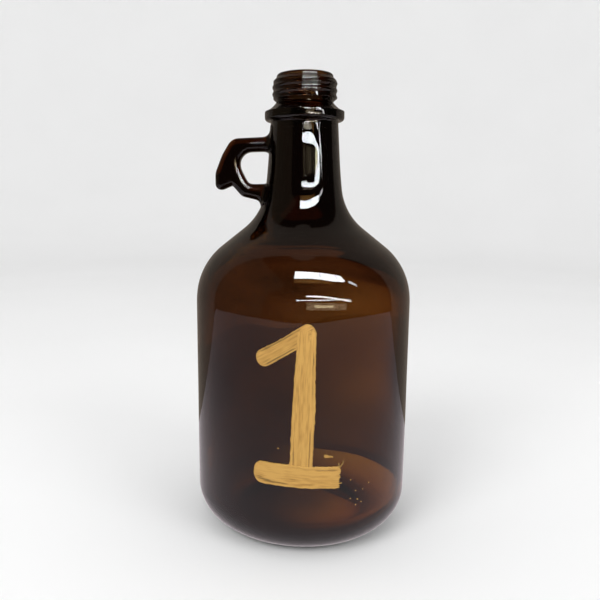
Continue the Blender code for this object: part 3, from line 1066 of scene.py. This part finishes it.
def windows():
    """The row under the skylight, a bright lintel that fills the neck's highlight, and lit shelves."""
    bar = ((3.4, 16.8, 19.0), (17.0, 15.8, 18.0), (31.0, 12.6, 14.5), (47.0, 6.2, 7.7))
    window("window_bar", bar, WINDOW_REACH, WARM_WHITE, 26.0)
    lintel = (
        (-6.5, 13.9, 14.9),
        (17.0, 13.8, 15.1),
        (32.0, 13.5, 14.5),
        (41.0, 12.7, 13.6),
        (50.5, 12.1, 12.6),
    )
    window("lintel", lintel, WALL_REACH, COOL_WHITE, 24.0, uneven=0.35, scale=16.0)
    strip = ((-2.0, 15.4, 16.1), (28.0, 15.2, 15.9))
    window("lintel_top", strip, WALL_REACH, (1.0, 0.88, 0.7), 5.0, uneven=0.6, scale=14.0)
    jamb = ((36.0, 12.0, 13.1), (45.0, 12.0, 12.6))
    window("jamb", jamb, WALL_REACH, (1.0, 0.93, 0.6), 12.0, uneven=0.4, scale=16.0)
    doorway = ((-4.0, 12.4, 13.7), (36.0, 12.0, 13.1))
    window("doorway", doorway, WALL_REACH, (1.0, 0.8, 0.5), 0.42, uneven=0.9, scale=7.0)
    lattice = ((4.0, 0.5, 11.8), (45.0, -1.0, 8.0))
    window("lattice", lattice, WALL_REACH, (1.0, 0.76, 0.45), 2.0, uneven=0.8, scale=11.0)
    shelf = ((12.0, 3.6, 7.4), (31.0, 2.8, 5.8))
    window("shelf_light", shelf, WALL_REACH - 0.05, (1.0, 0.84, 0.5), 9.0, uneven=0.4, scale=9.0)


def reflected_room():
    skylight()
    windows()
    floor_sheen()
    side = BACKDROP_SIDE
    backdrop = glow("backdrop", (1.0, 0.84, 0.7), 0.25)
    behind = ((side, -50.0, 82.0), (360.0 - side, -50.0, 82.0))
    dome_patch("backdrop", behind, ROOM_REACH, backdrop, glossy=True)
    dome_ring("backdrop_top", 82.0, 90.0, ROOM_REACH, backdrop, glossy=True)
    lit = (
        (-side, -9.0, 62.0),
        (-70.0, -9.0, 60.0),
        (-42.0, -9.0, 53.0),
        (-37.0, 22.0, 50.0),
        (-21.0, 35.0, 38.0),
    )
    window("side_room", lit, 2.5, (1.0, 0.74, 0.5), 0.14)
    window("dim_room", ((-side, -9.0, 82.0), (side, -9.0, 82.0)), ROOM_REACH, (1.0, 0.72, 0.56), 0.035)


def seen_through_glass():
    """What shows through the amber walls: a lit band behind the bottle, a glow low down, else dim."""
    band = glow("bright_band", (0.97, 1.0, 1.0), 0.64, uneven=0.3, scale=2.6)
    dome_ring("bright_band", -13.0, 0.3, WALL_REACH, band, transmission=True)
    dim = glow("dim_surround", (1.0, 0.9, 0.8), 0.06)
    dome_ring("dim_surround", 0.3, 90.0, WALL_REACH, dim, transmission=True)
    table = glow("dim_table", (1.0, 0.9, 0.85), 0.25, uneven=0.3)
    dome_ring("dim_table", -89.0, -13.0, WALL_REACH, table, transmission=True)
    place = dome_point(166.0, -15.5, WALL_REACH)
    warm = glow("warm_wall", (0.8, 1.0, 0.8), 1.7, centre=place, reach=0.6, clear=True)
    patch = ((140.0, -26.0, -5.0), (192.0, -26.0, -5.0))
    dome_patch("warm_wall", patch, WALL_REACH - 0.10, warm, transmission=True)
    place = dome_point(158.0, -36.0, WALL_REACH)
    low_glow = glow("warm_table", (0.62, 1.0, 0.5), 11.0, centre=place, reach=0.85, clear=True)
    patch = ((120.0, -60.0, -26.5), (190.0, -60.0, -28.5))
    dome_patch("warm_table", patch, WALL_REACH - 0.15, low_glow, transmission=True)


def camera():
    """The view: close, from a little above the shoulder, aimed down and a little to the left."""
    turn, tip, roll = map(math.radians, (CAMERA_TURN, CAMERA_TIP, CAMERA_ROLL))
    forward = Vector((math.sin(turn) * math.cos(tip), math.cos(turn) * math.cos(tip), -math.sin(tip)))
    right = Vector((math.cos(turn), -math.sin(turn), 0.0))
    up = right.cross(forward)
    right_rolled = right * math.cos(roll) + up * math.sin(roll)
    up_rolled = up * math.cos(roll) - right * math.sin(roll)
    data = bpy.data.cameras.new("camera")
    data.sensor_width = 36.0
    data.lens = LENS
    data.shift_x, data.shift_y = LENS_SHIFT
    data.clip_start = 0.01
    item = bpy.data.objects.new("camera", data)
    bpy.context.scene.collection.objects.link(item)
    matrix = Matrix((right_rolled, up_rolled, -forward)).transposed().to_4x4()
    matrix.translation = CAMERA_PLACE
    item.matrix_world = matrix
    bpy.context.scene.camera = item


# ---- the object ---------------------------------------------------------------------------------

# Brush strokes on the unrolled wall: distance to the right of the front line, height, half width
FLAG_SPINE = (
    (-24.2, 113.3, 4.6),
    (-20.0, 115.8, 4.7),
    (-8.0, 123.0, 4.5),
    (2.4, 129.6, 4.7),
    (6.8, 132.2, 4.5),
)
STEM_SPINE = (
    (2.5, 132.0, 4.9),
    (2.4, 121.0, 5.0),
    (1.7, 104.0, 5.5),
    (1.5, 89.0, 6.2),
    (0.9, 75.0, 6.0),
    (0.3, 57.0, 6.1),
    (0.2, 52.0, 5.9),
)
FOOT_SPINE = (
    (-26.4, 51.6, 6.0),
    (-20.0, 51.3, 6.3),
    (-6.0, 50.8, 6.35),
    (8.0, 50.0, 6.2),
    (22.4, 49.2, 6.1),
)
# Dry lines of each stroke, as brush_stroke takes them
FLAG_STREAKS = (
    (0.80, 0.10, 0.85, 0.8),
    (-0.74, 0.08, 0.62, 0.95),
    (-0.70, 0.62, 0.78, 0.7),
    (0.1, 0.85, 1.0, 0.8),
    (-0.25, 0.88, 1.0, 0.7),
)
STEM_STREAKS = (
    (0.66, 0.66, 1.0, 1.0),
    (0.76, 0.10, 0.5, 0.6),
    (0.05, 0.20, 0.55, 0.45),
    (-0.55, 0.35, 0.55, 0.5),
    (-0.72, 0.80, 0.98, 0.6),
    (0.22, 0.0, 0.09, 0.9),
    (0.34, 0.0, 0.1, 0.9),
    (0.46, 0.0, 0.08, 0.8),
)
FOOT_STREAKS = (
    (-0.62, 0.03, 0.22, 1.0),
    (-0.74, 0.1, 0.42, 0.8),
    (-0.45, 0.02, 0.14, 0.8),
    (0.66, 0.68, 0.97, 0.9),
    (-0.3, 0.30, 0.5, 0.5),
    (-0.66, 0.5, 0.72, 0.5),
)
# Paint drawn out by single bristles at the right end of the foot
HAIRS = (
    ((21.3, 54.6, 0.28), (22.8, 56.2, 0.18), (23.9, 58.6, 0.1)),
    ((21.6, 55.0, 0.25), (21.2, 56.4, 0.16), (20.9, 57.6, 0.1)),
    ((21.0, 45.6, 0.3), (22.6, 45.7, 0.22), (23.2, 45.6, 0.14)),
    ((19.4, 44.0, 0.3), (20.6, 43.9, 0.2), (21.2, 43.6, 0.12)),
)
SMEAR_SPINE = ((12.4, 62.1, 0.85), (14.5, 61.9, 0.7), (17.9, 61.3, 0.25))
# Distance round the wall, height and radius of each dried drop, in the order of the CAD nodes
DROPS = (
    (28.5, 46.7, 0.28),
    (40.7, 42.5, 0.34),
    (31.8, 39.8, 0.36),
    (36.6, 39.7, 0.26),
    (28.5, 35.7, 0.30),
    (33.1, 34.5, 0.42),
    (35.6, 32.4, 0.32),
    (32.0, 31.4, 0.34),
)


def finish_piece(item, material, slot, *nodes):
    item.data.materials.clear()
    item.data.materials.append(material)
    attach(item, BODY)
    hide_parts(*nodes)


def growler():
    finish_piece(glass_jug(), amber_glass(), "amber_glass", "glass_jug")
    gold = gold_paint()
    flag = brush_stroke(
        "flag_brush_stroke", FLAG_SPINE, film=0.20, round_start=1.0, round_end=0.8,
        ragged=(0.2, 0.3), streaks=FLAG_STREAKS, seed=3,
    )
    stem = brush_stroke(
        "stem_brush_stroke", STEM_SPINE, film=0.30, round_start=0.35, round_end=0.2,
        ragged=(0.9, 0.6), streaks=STEM_STREAKS, seed=4,
    )
    foot = brush_stroke(
        "foot_brush_stroke", FOOT_SPINE, film=0.40, round_start=0.75, round_end=0.1,
        ragged=(0.2, 1.5), streaks=FOOT_STREAKS, seed=7,
    )
    pieces = [foot]
    for index, spine in enumerate(HAIRS):
        hair = brush_stroke(
            f"hair_{index}", spine, film=0.16, round_start=0.5, round_end=0.5,
            ragged=(0.0, 0.1), streaks=(), seed=20 + index,
        )
        pieces.append(hair)
    foot = join(pieces, "foot_brush_stroke")
    smear = brush_stroke(
        "smear_of_paint", SMEAR_SPINE, film=0.14, round_start=0.5, round_end=0.3,
        ragged=(0.3, 0.9), streaks=(), seed=9,
    )
    finish_piece(flag, gold, "gold_paint", "numeral_flag_stroke")
    finish_piece(stem, gold, "gold_paint", "numeral_stem_stroke")
    finish_piece(foot, gold, "gold_paint", "numeral_foot_stroke")
    finish_piece(smear, gold, "gold_paint", "paint_smear")
    fleck = dried_drop("fleck_of_paint", along=-12.3, height=66.0, radius=0.38, seed=31)
    finish_piece(fleck, gold, "gold_paint", "paint_fleck")
    for index, (along, height, radius) in enumerate(DROPS, start=1):
        drop = dried_drop(f"dried_drop_{index}", along, height, radius, seed=40 + index)
        finish_piece(drop, gold, "gold_paint", f"paint_drop_{index}")


def render_settings():
    scene = bpy.context.scene
    scene.view_settings.view_transform = "Standard"
    scene.cycles.use_denoising = True
    scene.cycles.max_bounces = 24
    scene.cycles.transmission_bounces = 20
    scene.cycles.glossy_bounces = 8
    scene.cycles.transparent_max_bounces = 16
    scene.cycles.caustics_reflective = False
    scene.cycles.caustics_refractive = False


camera()
studio()
render_settings()
growler()
